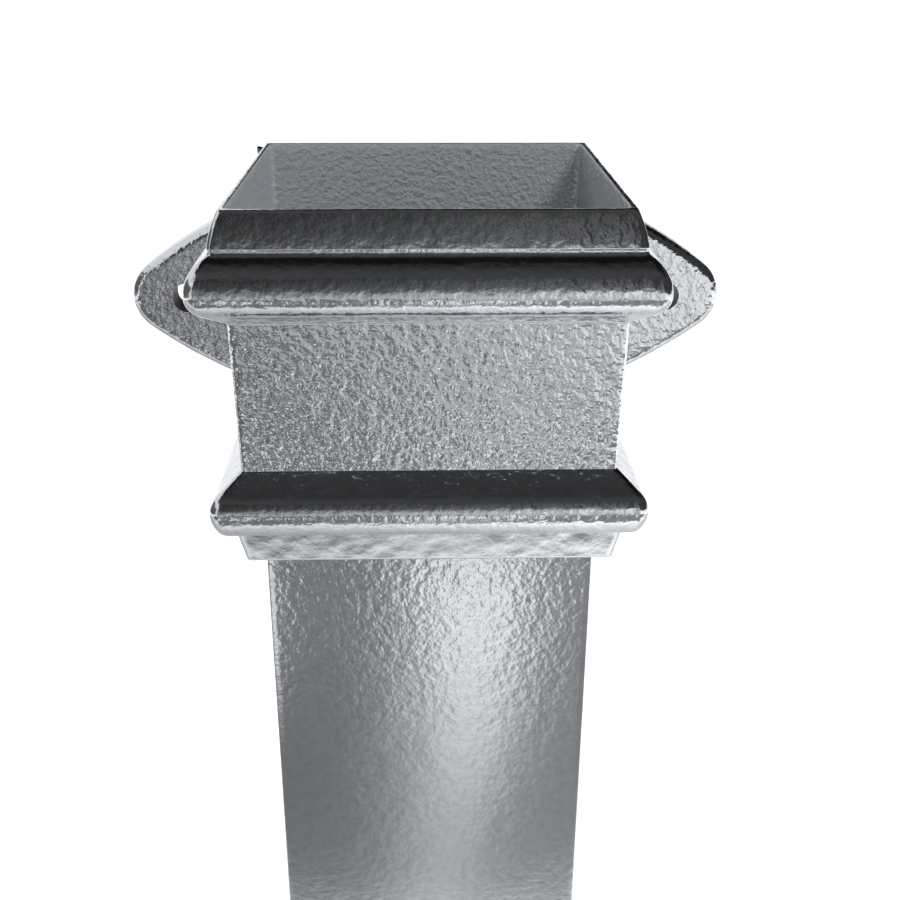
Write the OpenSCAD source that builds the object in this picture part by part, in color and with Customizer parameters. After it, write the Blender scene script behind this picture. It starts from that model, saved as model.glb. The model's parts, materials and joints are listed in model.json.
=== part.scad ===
// Square rainwater downpipe with a moulded, eared socket, cast in one piece.
// Millimetres, +Z up. The origin lies on the wall plane, midway between the
// two ear holes. The pipe stands in front of the wall, towards -Y.

/* [Pipe] */
// Outside width of the square pipe
pipe_w = 75; // [65:1:100]
// Wall of the pipe
pipe_wall = 4; // [3:0.5:6]
// Length that one pipe adds to the run, from the socket's seat to the spigot end
laying_length = 610; // [300:10:1830]
// Radius of the pipe's outside corners
pipe_corner_r = 0.8; // [0.4:0.1:3]

/* [Socket] */
// Depth of the socket, from its rim to the seat that the next spigot stands on
socket_depth = 74; // [62:1:110]
// Metal under the seat
seat_floor = 6; // [4:0.5:12]
// Gap on each side of the spigot in the wide mouth, for the jointing
mouth_gap = 3.5; // [3:0.1:5]
// Gap on each side of the spigot in the narrow part, which centres it
guide_gap = 1; // [0.5:0.1:2.5]
// Depth of the wide mouth
mouth_depth = 18; // [10:1:22]
// Thickness of the lip at the rim
lip_wall = 1.3; // [1:0.1:3]
// Wall of the plain band between the mouldings, at its top
band_wall = 3.6; // [3:0.1:6]
// Draft of that band: how much narrower each side is at its foot
band_draft = 0.7; // [0:0.1:0.8]
// Radius of the inside corners
inside_corner_r = 2; // [1:0.5:4]
// Radius that softens the mitred front corners
arris_r = 1.2; // [0.4:0.1:2.5]

/* [Upper moulding] */
// Height of the roll below the rim
roll_h = 7.2; // [6.5:0.1:8]
// How far the roll swells out past the rim
roll_out = 2.4; // [1.5:0.05:2.7]
// Slope of the roll at the rim, from upright
roll_slope = 27; // [24:1:40]
// Height of the upright fillet under the roll
fillet_h = 1.8; // [0.8:0.05:3]
// How far the big bead stands out past the rim
bead_out = 7.2; // [7:0.05:9]
// Radius of the bead above its nose
bead_upper_r = 7.6; // [6:0.1:8.2]
// Radius of the bead below its nose
bead_lower_r = 5.5; // [4:0.1:7]
// Steepest slope of the bead's shoulder, where the hollow above runs into it
shoulder_angle = 65; // [60:1:68]
// Slope of the bead's underside, from upright
underside_angle = 60; // [50:1:65]
// Radius where the underside meets the plain band
band_fillet_r = 1.2; // [0.8:0.1:3]

/* [Lower moulding] */
// Height of the lower moulding and the neck ring together
lower_h = 22.4; // [22:0.1:26]
// How far the lower bead's nose stands out past the foot of the plain band
lower_bead_out = 6.7; // [6:0.1:8]
// Slope of the flat weathering on top of the lower bead, from upright
weathering_angle = 54; // [45:1:65]
// Radius of the lower bead above its nose
nose_upper_r = 5.2; // [4:0.1:7]
// Radius of the lower bead below its nose
nose_lower_r = 11.5; // [9:0.1:12]
// Slope at which that curve ends
nose_angle = 30; // [20:1:32]
// Radius of the lower bead's bottom edge
nose_edge_r = 2.2; // [1.5:0.1:2.6]
// Slope of the lower bead's underside, from upright
lip_angle = 80; // [60:1:85]
// How far the neck ring's top stands out past the foot of the plain band
neck_out = 1.6; // [1:0.1:2.2]
// How much the neck ring narrows on each side towards its bottom
neck_draft = 1.1; // [0.2:0.1:1.5]
// Radius in the corner between the bead and the neck ring
neck_fillet_r = 0.8; // [0.4:0.1:1.2]
// Radius of the neck ring's bottom edge
neck_edge_r = 0.8; // [0.4:0.1:1.2]

/* [Ears] */
// Distance from the big bead's side out to each ear hole
hole_out = 15.5; // [12:0.25:30]
// Distance from each hole out to its ear's tip
hole_edge = 15; // [10:0.5:20]
// Height of the ears' outline where it passes behind the socket
ear_h = 68; // [56:1:72]
// Radius of each ear's nose
ear_nose_r = 10.5; // [8:0.5:20]
// Thickness of the ears
ear_t = 8; // [6:0.5:12]
// Radius of the ears' front edge
ear_edge_r = 2.5; // [1:0.1:4]
// Height of the rim above the ear holes
rim_above_holes = 40; // [36:1:60]
// Diameter of the ear holes
hole_d = 8; // [5:0.5:12]

/* [Hidden] */
$fn = 64;

// Steps along each rounded stretch of the moulding's outline
arc_steps = 6;
// Steps round each softened front corner
arris_steps = 4;
// Steps round the ears' front edge and along each arc of their outline
ear_edge_steps = 4;
ear_arc_steps = 9;
// Overlap of a cut past the face that it goes through
cut = 1;
// Points of an outline that are nearer than this are one point
same_point = 0.001;

// Half-widths across the socket, from its axis
mouth_half = pipe_w / 2 + mouth_gap;
guide_half = pipe_w / 2 + guide_gap;
bore_half = pipe_w / 2 - pipe_wall;
rim_half = mouth_half + lip_wall;
roll_half = rim_half + roll_out;
bead_half = rim_half + bead_out;
band_top_half = guide_half + band_wall;
band_foot_half = band_top_half - band_draft;
neck_top_half = band_foot_half + neck_out;
neck_foot_half = neck_top_half - neck_draft;

// The rim's back lies on the wall plane, so the axis stands this far out
axis_y = -rim_half;

// Levels
rim_z = rim_above_holes;
seat_z = rim_z - socket_depth;
neck_z = seat_z - seat_floor;
spigot_z = seat_z - laying_length;
lead_in_z = rim_z - mouth_depth;
guide_z = lead_in_z - (mouth_half - guide_half);

// Upper moulding: the roll is one arc, and the hollow's radius follows from
// the bead that it runs into
roll_foot_slope = 2 * atan2(roll_out, roll_h) - roll_slope;
roll_r = norm([roll_out, roll_h]) / (2 * sin((roll_slope - roll_foot_slope) / 2));
fillet_z = rim_z - roll_h - fillet_h;
shoulder_drop = 1 - cos(shoulder_angle);
hollow_r = (bead_half - roll_half) / shoulder_drop - bead_upper_r;
bead_z = fillet_z - (hollow_r + bead_upper_r) * sin(shoulder_angle);
underside_half = bead_half - bead_lower_r * (1 - cos(underside_angle));
underside_z = bead_z - bead_lower_r * sin(underside_angle);
band_fillet_half = band_top_half + band_fillet_r * (1 - cos(underside_angle));
band_fillet_z = underside_z - (underside_half - band_fillet_half) / tan(underside_angle);
band_top_z = band_fillet_z - band_fillet_r * sin(underside_angle);

// Lower moulding
band_foot_z = neck_z + lower_h;
nose_half = band_foot_half + lower_bead_out;
weathering_half = nose_half - nose_upper_r * (1 - cos(weathering_angle));
weathering_z = band_foot_z - (weathering_half - band_foot_half) / tan(weathering_angle);
nose_z = weathering_z - nose_upper_r * sin(weathering_angle);
nose_edge_half = nose_half - nose_lower_r + (nose_lower_r - nose_edge_r) * cos(nose_angle);
nose_edge_z = nose_z - (nose_lower_r - nose_edge_r) * sin(nose_angle);
lip_half = nose_edge_half + nose_edge_r * cos(lip_angle);
lip_z = nose_edge_z - nose_edge_r * sin(lip_angle);
neck_fillet_half = neck_top_half + neck_fillet_r * (1 - cos(lip_angle));
neck_fillet_z = lip_z - (lip_half - neck_fillet_half) / tan(lip_angle);
neck_top_z = neck_fillet_z - neck_fillet_r * sin(lip_angle);

// Ears: a long arc above and one below, each tangent to the nose arcs
hole_x = bead_half + hole_out;
ear_nose_x = hole_x + hole_edge - ear_nose_r;
ear_arc_r = (pow(ear_nose_x, 2) + pow(ear_h / 2, 2) - pow(ear_nose_r, 2))
    / (ear_h - 2 * ear_nose_r);
ear_arc_drop = ear_arc_r - ear_h / 2;
ear_turn = atan2(ear_arc_drop, ear_nose_x);

// The moulding and the ears run on behind the wall plane, and are cut off there
behind_wall = 6;
wall_cut_w = 2 * (hole_x + hole_edge + cut);

// Points along an arc in the plane of the outline, from one angle to another
function arc(axis, r, from, to, steps = arc_steps) = [
    for (i = [0 : steps])
        let (a = from + (to - from) * i / steps)
        [axis[0] + r * cos(a), axis[1] + r * sin(a)]
];

// Leaves out each point that repeats the one before it
function distinct(points) = [
    for (i = [0 : len(points) - 1])
        let (before = points[(i + len(points) - 1) % len(points)])
        if (norm(points[i] - before) > same_point)
            points[i]
];

// The socket's outline from rim to neck, as half-width and height
function moulding_outline() = distinct(concat(
    arc(
        [rim_half - roll_r * cos(roll_slope), rim_z - roll_r * sin(roll_slope)],
        roll_r,
        roll_slope,
        roll_foot_slope
    ),
    arc([roll_half + hollow_r, fillet_z], hollow_r, 180, 180 + shoulder_angle),
    arc([bead_half - bead_upper_r, bead_z], bead_upper_r, shoulder_angle, 0),
    arc([bead_half - bead_lower_r, bead_z], bead_lower_r, 0, -underside_angle),
    arc([band_top_half + band_fillet_r, band_top_z], band_fillet_r, 180 - underside_angle, 180),
    [[band_foot_half, band_foot_z]],
    arc([nose_half - nose_upper_r, nose_z], nose_upper_r, weathering_angle, 0),
    arc([nose_half - nose_lower_r, nose_z], nose_lower_r, 0, -nose_angle),
    arc([nose_edge_half, nose_edge_z], nose_edge_r, -nose_angle, -lip_angle),
    arc([neck_top_half + neck_fillet_r, neck_top_z], neck_fillet_r, 180 - lip_angle, 180),
    arc([neck_foot_half - neck_edge_r, neck_z + neck_edge_r], neck_edge_r, 0, -90)
));

function reversed(points) = [
    for (i = [len(points) - 1 : -1 : 0])
        points[i]
];

function mirrored(points) = [
    for (p = points)
        [-p[0], p[1]]
];

// A point of the outline swept round the plan: back right, both softened
// front corners, back left
function ring(half, z) =
    let (corner = half - arris_r)
    [
        for (p = concat(
            [[half, behind_wall]],
            arc([corner, axis_y - corner], arris_r, 0, -90, arris_steps),
            arc([-corner, axis_y - corner], arris_r, -90, -180, arris_steps),
            [[-half, behind_wall]]
        ))
            [p[0], p[1], z]
    ];

// The socket as it is moulded on its front and sides
module socket_block() {
    rings = [for (p = moulding_outline()) ring(p[0], p[1])];
    sides = len(rings[0]);
    last = len(rings) - 1;
    polyhedron(
        points = [for (r = rings) each r],
        faces = concat(
            [[for (j = [0 : sides - 1]) j]],
            [
                for (i = [0 : last - 1], j = [0 : sides - 1])
                    let (next = (j + 1) % sides)
                    [i * sides + next, i * sides + j, (i + 1) * sides + j, (i + 1) * sides + next]
            ],
            [[for (j = [sides - 1 : -1 : 0]) last * sides + j]]
        )
    );
}

module rounded_square(half, r) {
    straight = half - r;
    square([2 * half, 2 * straight], center = true);
    square([2 * straight, 2 * half], center = true);
    for (x = [-straight, straight], y = [-straight, straight])
        translate([x, y])
            circle(r = r);
}

// Upright square prism round the pipe's axis, between two levels
module square_prism(half, r, bottom, top) {
    translate([0, axis_y, bottom])
        linear_extrude(height = top - bottom)
            rounded_square(half, r);
}

// One pair of the sloping faces that lead the spigot from mouth to guide
module lead_in_pair() {
    rotate([90, 0, 0])
        linear_extrude(height = 2 * mouth_half, center = true)
            polygon([
                [-mouth_half, lead_in_z],
                [mouth_half, lead_in_z],
                [guide_half, guide_z],
                [-guide_half, guide_z]
            ]);
}

module lead_in() {
    translate([0, axis_y, 0])
        intersection() {
            lead_in_pair();
            rotate([0, 0, 90])
                lead_in_pair();
        }
}

// All that is hollow: mouth, lead-in, guide, and the bore down the pipe
module waterway() {
    square_prism(mouth_half, inside_corner_r, lead_in_z, rim_z + cut);
    lead_in();
    square_prism(guide_half, inside_corner_r, seat_z, lead_in_z);
    square_prism(bore_half, inside_corner_r, spigot_z - cut, seat_z + cut);
}

module pipe_shaft() {
    square_prism(pipe_w / 2, pipe_corner_r, spigot_z, seat_z);
}

// One quarter of the ears' outline, moved inwards by a distance
function ear_quarter(inset) = concat(
    arc([ear_nose_x, 0], ear_nose_r - inset, 0, ear_turn, ear_arc_steps),
    arc([0, -ear_arc_drop], ear_arc_r - inset, ear_turn, 90, ear_arc_steps)
);

function ear_outline(inset) =
    let (
        quarter = ear_quarter(inset),
        upper = concat(quarter, reversed(mirrored(quarter)))
    )
    distinct(concat(upper, [for (p = reversed(upper)) [p[0], -p[1]]]));

// A layer of the ear plate, from behind the wall plane to a distance in front
module ear_layer(inset, thickness) {
    translate([0, behind_wall, 0])
        rotate([90, 0, 0])
            linear_extrude(height = behind_wall + thickness)
                polygon(ear_outline(inset));
}

// The plate that carries both ears, with its front edge rounded over
module ear_plate() {
    hull()
        for (i = [0 : ear_edge_steps])
            let (a = 90 * i / ear_edge_steps)
            ear_layer(
                ear_edge_r * (1 - cos(a)),
                ear_t - ear_edge_r * (1 - sin(a))
            );
}

module ear_holes() {
    for (x = [-hole_x, hole_x])
        translate([x, cut, 0])
            rotate([90, 0, 0])
                cylinder(h = ear_t + 2 * cut, d = hole_d);
}

// All that lies behind the wall plane
module wall_side() {
    translate([-wall_cut_w / 2, 0, neck_z - cut])
        cube([wall_cut_w, behind_wall + cut, rim_z - neck_z + 2 * cut]);
}

// The whole casting is one solid
module downpipe() {
    color([0.62, 0.64, 0.67])
        difference() {
            union() {
                socket_block();
                pipe_shaft();
                ear_plate();
            }
            wall_side();
            waterway();
            ear_holes();
        }
}

downpipe();
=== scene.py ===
import json
import math

import bmesh
import bpy
from mathutils import Matrix, Vector


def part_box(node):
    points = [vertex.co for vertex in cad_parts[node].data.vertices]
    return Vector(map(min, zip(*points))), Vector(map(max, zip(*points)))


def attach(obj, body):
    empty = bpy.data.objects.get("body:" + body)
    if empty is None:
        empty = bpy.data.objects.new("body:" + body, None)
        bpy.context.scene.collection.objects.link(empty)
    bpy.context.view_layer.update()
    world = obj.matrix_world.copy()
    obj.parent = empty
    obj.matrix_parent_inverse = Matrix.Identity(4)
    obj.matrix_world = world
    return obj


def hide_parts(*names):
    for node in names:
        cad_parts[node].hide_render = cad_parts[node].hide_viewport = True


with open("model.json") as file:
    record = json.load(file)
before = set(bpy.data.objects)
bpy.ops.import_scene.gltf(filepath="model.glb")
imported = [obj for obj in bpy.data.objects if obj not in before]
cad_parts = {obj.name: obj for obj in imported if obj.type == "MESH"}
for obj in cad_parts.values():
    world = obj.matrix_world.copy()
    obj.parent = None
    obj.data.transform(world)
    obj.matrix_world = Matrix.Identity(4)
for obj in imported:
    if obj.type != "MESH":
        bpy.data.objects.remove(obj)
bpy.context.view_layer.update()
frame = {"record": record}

bl_info = {
    "name": "Square Downpipe",
    "version": (1, 0, 0),
    "blender": (4, 5, 0),
    "location": "3D View > Sidebar > Downpipe",
    "description": "Models the cast square downpipe over its frame and sets up the studio",
    "category": "Object",
}

# The frame: the solid's box and the places of its mounts, in metres
MM = 0.001
BODY_LOW, BODY_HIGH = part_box("downpipe")
MOUNTS = {mount["name"]: mount for mount in frame["record"]["mounts"]}
EAR_HOLES = MOUNTS["ear_holes"]["dims"]
AXIS_Y = MOUNTS["spigot_end"]["pos_m"][1]
SEAT_Z = MOUNTS["socket_seat"]["pos_m"][2]
RIM_Z = BODY_HIGH.z
SPIGOT_Z = BODY_LOW.z
RIM_HALF = -AXIS_Y
BEAD_HALF = AXIS_Y - BODY_LOW.y
HOLE_X = EAR_HOLES["spacing_x_mm"] * MM / 2
HOLE_R = EAR_HOLES["hole_r_mm"] * MM
BODY = "root"

# Points nearer than this count as lying on a plane
TOUCH = 0.01 * MM


def length(name, description, default):
    return bpy.props.FloatProperty(
        name=name, description=description, default=default, unit="LENGTH", precision=5
    )


def angle(name, description, degrees):
    return bpy.props.FloatProperty(
        name=name, description=description, default=math.radians(degrees), subtype="ANGLE"
    )


def share(name, description, default, top=1.0):
    return bpy.props.FloatProperty(
        name=name, description=description, default=default, min=0.0, max=top
    )


def colour(name, description, default):
    return bpy.props.FloatVectorProperty(
        name=name, description=description, default=default, subtype="COLOR", min=0.0, max=1.0
    )


class PipeSizes(bpy.types.PropertyGroup):
    width: length("Width", "Outside width of the square pipe", 75 * MM)
    wall: length("Wall", "Wall of the pipe", 4 * MM)
    end_edge_r: length("End edge", "Rounding of the spigot's edges", 0.5 * MM)
    corner_share: share("Corner share", "Front corners of the pipe, as a share of the socket's", 0.4)


class SocketSizes(bpy.types.PropertyGroup):
    seat_floor: length("Seat floor", "Metal under the seat", 6 * MM)
    mouth_gap: length("Mouth gap", "Gap beside the spigot in the wide mouth", 3.5 * MM)
    guide_gap: length("Guide gap", "Gap beside the spigot in the narrow part", 1 * MM)
    mouth_depth: length("Mouth depth", "Depth of the wide mouth", 18 * MM)
    rim_edge_r: length("Rim edge", "Rounding of the rim's two edges", 0.25 * MM)
    band_wall: length("Band wall", "Wall of the plain band at its top", 3.6 * MM)
    band_draft: length("Band draft", "How much narrower the band is at its foot", 0.7 * MM)
    arris_r: length("Front corner", "Radius of the mitred front corners", 0.95 * MM)
    bead_arris: share("Bead corner", "Front corners of the beads, as a share of the others", 2.0, 3.0)
    back_corner_r: length("Back corner", "Radius of the corners on the wall plane", 0.15 * MM)
    inside_corner_r: length("Inside corner", "Radius of the inside corners", 2 * MM)


class UpperMouldingSizes(bpy.types.PropertyGroup):
    roll_h: length("Roll height", "Height of the roll below the rim", 7.5 * MM)
    roll_out: length("Roll", "How far the roll swells out past the rim", 2.4 * MM)
    roll_slope: angle("Roll slope", "Slope of the roll at the rim, from upright", 27)
    fillet_h: length("Fillet height", "Height of the fillet under the roll", 0.5 * MM)
    fillet_nip: length("Fillet nip", "How far the fillet leans in at its foot", 0.12 * MM)
    bead_upper_r: length("Bead above", "Radius of the big bead above its nose", 8.2 * MM)
    bead_lower_r: length("Bead below", "Radius of the big bead below its nose", 5.5 * MM)
    shoulder: angle("Shoulder", "Steepest slope of the bead's shoulder", 61)
    underside: angle("Underside", "Slope of the bead's underside, from upright", 60)
    band_fillet_r: length("Band fillet", "Radius under the bead", 0.35 * MM)


class LowerMouldingSizes(bpy.types.PropertyGroup):
    height: length("Height", "Height of lower moulding and neck ring", 22.4 * MM)
    bead_out: length("Bead", "How far the lower bead stands out past the band's foot", 6.7 * MM)
    weathering: angle("Weathering", "Slope of the flat top of the lower bead, from upright", 49.5)
    nose_upper_r: length("Nose above", "Radius of the lower bead above its nose", 4.8 * MM)
    nose_lower_r: length("Nose below", "Radius of the lower bead below its nose", 8.6 * MM)
    nose_angle: angle("Nose angle", "Slope at which that curve ends", 36)
    edge_r: length("Edge", "Radius of the lower bead's bottom edge", 2.2 * MM)
    lip_angle: angle("Lip angle", "Slope of the lower bead's underside, from upright", 80)
    neck_out: length("Neck", "How far the neck ring's top stands out past the band's foot", 1.6 * MM)
    neck_draft: length("Neck draft", "How much the neck ring narrows", 1.45 * MM)
    neck_fillet_r: length("Neck fillet", "Radius above the neck ring", 0.8 * MM)
    neck_edge_r: length("Neck edge", "Radius of the neck ring's bottom edge", 0.8 * MM)


class EarSizes(bpy.types.PropertyGroup):
    height: length("Height", "Height of the ears' outline behind the socket", 68 * MM)
    nose_r: length("Nose", "Radius of each ear's nose", 10.5 * MM)
    thickness: length("Thickness", "Thickness of the ears", 8 * MM)
    edge_r: length("Edge", "Radius of the ears' front edge", 2.5 * MM)
    root_x: length("Root", "Where the ears end inside the socket's wall", 41.2 * MM)


class SpurSizes(bpy.types.PropertyGroup):
    reach: length("Reach", "How far the casting spur stands out", 2.2 * MM)
    root_r: length("Root", "Radius of the spur at its root", 1.1 * MM)
    tip_r: length("Tip", "Radius of the spur at its tip", 0.4 * MM)
    below_rim: length("Below rim", "How far the spur lies below the rim", 1.6 * MM)


class MeshDensity(bpy.types.PropertyGroup):
    front_step: length("Front", "Spacing of the mesh across the front", 1.1 * MM)
    side_step: length("Side", "Spacing of the mesh along the sides", 1.3 * MM)
    back_step: length("Back", "Spacing of the mesh across the back", 7 * MM)
    arc_step: length("Arc", "Spacing of the mesh round the mouldings", 0.8 * MM)
    pipe_step: length("Pipe", "Spacing down the pipe below the socket", 1.4 * MM)
    far_step: length("Far pipe", "Spacing down the rest of the pipe", 8 * MM)
    near_pipe: length("Near pipe", "Length of pipe that has the close spacing", 100 * MM)
    bore_step: length("Bore", "Spacing down the bore", 20 * MM)
    inside_step: length("Inside", "Spacing inside the socket", 1.6 * MM)


class CastingFinish(bpy.types.PropertyGroup):
    metal: colour("Metal", "Colour of the metallic finish", (0.62, 0.64, 0.67))
    # Painted shade: the metal's colour is darkened in the hollows of the cast skin
    metal_hollow_shade: colour("Dark metal", "Colour in the hollows of the skin", (0.58, 0.60, 0.63))
    # Painted shade: the drilled holes' walls are coloured near black
    hole_shade: colour("Bare", "Colour of the drilled holes' bare walls", (0.020, 0.020, 0.022))
    metallic: share("Metallic", "How metallic the outside is", 1.0)
    metallic_inside: share("Metallic inside", "How metallic the waterway is", 0.8)
    roughness: share("Roughness", "Roughness of the glossy outside", 0.15)
    roughness_inside: share("Roughness inside", "Roughness of the waterway", 0.28)
    wrinkle_size: length("Wrinkle size", "Width of the lumps of the cast skin", 2.0 * MM)
    wrinkle_size_inside: length("Inside size", "Width of the lumps in the waterway", 1.4 * MM)
    band_depth: length("Band wrinkles", "Height of the plain band's wrinkles", 0.27 * MM)
    socket_depth: length("Socket wrinkles", "Height of the mouldings' wrinkles", 0.16 * MM)
    pipe_top_depth: length("Upper pipe", "Height of the pipe's wrinkles under the socket", 0.105 * MM)
    pipe_depth: length("Pipe wrinkles", "Height of the wrinkles further down the pipe", 0.03 * MM)
    pipe_fade: length("Pipe fade", "Length of pipe over which its wrinkles die down", 55 * MM)
    neck_height: length("Smooth neck", "Height of the neck ring, whose skin is calmer", 8 * MM)
    neck_depth: length("Neck wrinkles", "Height of the neck ring's wrinkles", 0.04 * MM)
    inside_depth: length("Inside wrinkles", "Height of the waterway's wrinkles", 0.55 * MM)
    swell_size: length("Swell size", "Width of the casting's soft swellings", 9 * MM)
    swell_depth: length("Swell depth", "Height of the casting's soft swellings", 0.10 * MM)
    lump_size: length("Lump size", "Width of the casting's small lumps", 3.2 * MM)
    lump_depth: length("Lump depth", "Height of the casting's small lumps", 0.09 * MM)
    pipe_share: share("Pipe share", "Share of swellings and lumps that the pipe has", 0.3)


class StudioSettings(bpy.types.PropertyGroup):
    floor: colour("Floor", "Colour of the floor", (0.80, 0.80, 0.80))
    room_light: share("Room light", "Strength of the even light in the room", 0.75, 4.0)
    floor_glow: share("Floor glow", "Light the floor adds where it is seen", 0.55, 4.0)
    mouth_lamp: share("Mouth lamp", "Power of the soft lamp over the mouth, in watts", 70.0, 1000.0)


def settings():
    return bpy.context.scene.downpipe


class DownpipeSettings(bpy.types.PropertyGroup):
    pipe: bpy.props.PointerProperty(type=PipeSizes)
    socket: bpy.props.PointerProperty(type=SocketSizes)
    upper: bpy.props.PointerProperty(type=UpperMouldingSizes)
    lower: bpy.props.PointerProperty(type=LowerMouldingSizes)
    ears: bpy.props.PointerProperty(type=EarSizes)
    spur: bpy.props.PointerProperty(type=SpurSizes)
    mesh: bpy.props.PointerProperty(type=MeshDensity)
    finish: bpy.props.PointerProperty(type=CastingFinish)
    studio: bpy.props.PointerProperty(type=StudioSettings)


# Outlines, as points of half-width and height


def arc(centre, radius, start, end, step):
    """Points along an arc from one angle to another, both in radians, no further apart than a step."""
    count = max(2, math.ceil(radius * abs(end - start) / step))
    turns = [start + (end - start) * i / count for i in range(count + 1)]
    return [(centre[0] + radius * math.cos(a), centre[1] + radius * math.sin(a)) for a in turns]


def distinct(points):
    kept = []
    for point in points:
        if not kept or math.dist(point, kept[-1]) > TOUCH:
            kept.append(point)
    return kept


def line(start, end, step):
    """Points along a straight line, ends included, with a close one inside each end."""
    span = math.dist(start, end)
    count = math.ceil(span / step)
    shares = [i / count for i in range(count + 1)]
    if span > LEAST_FOLDED:
        shares = sorted({*shares, FOLD / span, 1 - FOLD / span})
    return [tuple(Vector(start).lerp(end, share)) for share in shares]


# Folds keep a ring of the mesh this near on their straight side, so that they stay crisp
FOLD = 0.15 * MM
LEAST_FOLDED = 3 * FOLD


def neck_foot(socket):
    """The height of the neck ring's foot, which is the socket's too."""
    return SEAT_Z - socket.seat_floor


def upper_outline(socket, upper, guide_half, step):
    """From the rim down over roll, fillet and big bead to the top of the plain band."""
    roll_foot = 2 * math.atan2(upper.roll_out, upper.roll_h) - upper.roll_slope
    chord = math.hypot(upper.roll_out, upper.roll_h)
    roll_r = chord / (2 * math.sin((upper.roll_slope - roll_foot) / 2))
    roll_centre = (
        RIM_HALF - roll_r * math.cos(upper.roll_slope),
        RIM_Z - roll_r * math.sin(upper.roll_slope),
    )
    edge = socket.rim_edge_r
    edge_turn = math.asin((roll_r * math.sin(upper.roll_slope) - edge) / (roll_r - edge))
    edge_centre = (roll_centre[0] + (roll_r - edge) * math.cos(edge_turn), RIM_Z - edge)
    fillet_half = RIM_HALF + upper.roll_out - upper.fillet_nip
    fillet_z = RIM_Z - upper.roll_h - upper.fillet_h
    shoulder_drop = 1 - math.cos(upper.shoulder)
    hollow_r = (BEAD_HALF - fillet_half) / shoulder_drop - upper.bead_upper_r
    bead_z = fillet_z - (hollow_r + upper.bead_upper_r) * math.sin(upper.shoulder)
    band_half = guide_half + socket.band_wall
    under_half = BEAD_HALF - upper.bead_lower_r * (1 - math.cos(upper.underside))
    under_z = bead_z - upper.bead_lower_r * math.sin(upper.underside)
    fillet_turn = upper.band_fillet_r * (1 - math.cos(upper.underside))
    foot_z = under_z - (under_half - band_half - fillet_turn) / math.tan(upper.underside)
    band_z = foot_z - upper.band_fillet_r * math.sin(upper.underside)
    band_fillet = (band_half + upper.band_fillet_r, band_z)
    roll = arc(roll_centre, roll_r, edge_turn, roll_foot, step)
    hollow_centre = (fillet_half + hollow_r, fillet_z)
    hollow = arc(hollow_centre, hollow_r, math.pi, math.pi + upper.shoulder, step / 2)
    return distinct(
        arc(edge_centre, edge, math.pi / 2, edge_turn, step)
        + roll[:-1]
        + line(roll[-2], roll[-1], step)
        + line(roll[-1], hollow[0], step)
        + hollow
        + arc((BEAD_HALF - upper.bead_upper_r, bead_z), upper.bead_upper_r, upper.shoulder, 0, step)
        + arc((BEAD_HALF - upper.bead_lower_r, bead_z), upper.bead_lower_r, 0, -upper.underside, step)
        + arc(band_fillet, upper.band_fillet_r, math.pi - upper.underside, math.pi, step / 2)
    )


def lower_outline(socket, lower, guide_half, step):
    """From the foot of the plain band down over weathering, lower bead and neck ring."""
    neck_z = neck_foot(socket)
    foot = (guide_half + socket.band_wall - socket.band_draft, neck_z + lower.height)
    nose_half = foot[0] + lower.bead_out
    start_half = nose_half - lower.nose_upper_r * (1 - math.cos(lower.weathering))
    start_z = foot[1] - (start_half - foot[0]) / math.tan(lower.weathering)
    nose_z = start_z - lower.nose_upper_r * math.sin(lower.weathering)
    swing = lower.nose_lower_r - lower.edge_r
    edge_centre = (
        nose_half - lower.nose_lower_r + swing * math.cos(lower.nose_angle),
        nose_z - swing * math.sin(lower.nose_angle),
    )
    lip_half = edge_centre[0] + lower.edge_r * math.cos(lower.lip_angle)
    lip_z = edge_centre[1] - lower.edge_r * math.sin(lower.lip_angle)
    neck_half = foot[0] + lower.neck_out
    fillet_half = neck_half + lower.neck_fillet_r * (1 - math.cos(lower.lip_angle))
    fillet_z = lip_z - (lip_half - fillet_half) / math.tan(lower.lip_angle)
    neck_top_z = fillet_z - lower.neck_fillet_r * math.sin(lower.lip_angle)
    edge = lower.neck_edge_r
    neck_edge = (neck_half - lower.neck_draft - edge, neck_z + edge)
    neck_fillet = (neck_half + lower.neck_fillet_r, neck_top_z)
    nose_lower = (nose_half - lower.nose_lower_r, nose_z)
    return distinct(
        line(foot, (start_half, start_z), step)
        + arc((nose_half - lower.nose_upper_r, nose_z), lower.nose_upper_r, lower.weathering, 0, step)
        + arc(nose_lower, lower.nose_lower_r, 0, -lower.nose_angle, step)
        + arc(edge_centre, lower.edge_r, -lower.nose_angle, -lower.lip_angle, step / 2)
        + arc(neck_fillet, lower.neck_fillet_r, math.pi - lower.lip_angle, math.pi, step / 2)
        + line((neck_half, neck_top_z), (neck_edge[0] + edge, neck_edge[1]), step)
        + arc(neck_edge, edge, 0, -math.pi / 2, step / 2)
    )


def fold_points(upper, lower):
    """The plain band's points close inside its top and its foot."""
    band = line(upper[-1], lower[0], math.dist(upper[-1], lower[0]))
    return band[1:-1]


def moulded(point):
    """A ring of the socket: moulded on front and sides, with its back on the wall plane."""
    half, z = point
    return (half, AXIS_Y - half, 0.0, z)


def centred(half, z):
    """A square ring round the pipe's axis."""
    return (half, AXIS_Y - half, AXIS_Y + half, z)


# Modelling steps


def enter(mode):
    bpy.ops.object.mode_set(mode=mode)


def select_all():
    bpy.ops.mesh.select_all(action="SELECT")


def start_afresh():
    """Leaves edit mode and deselects everything, so that the next operator acts on new work only."""
    if bpy.context.object and bpy.context.object.mode != "OBJECT":
        enter("OBJECT")
    bpy.ops.object.select_all(action="DESELECT")


def new_plane(name, size=1):
    start_afresh()
    bpy.ops.mesh.primitive_plane_add(size=size, location=(0, 0, 0))
    piece = bpy.context.object
    piece.name = name
    return piece


def make_active(piece, *others):
    start_afresh()
    for one in (piece, *others):
        one.select_set(True)
    bpy.context.view_layer.objects.active = piece


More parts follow.
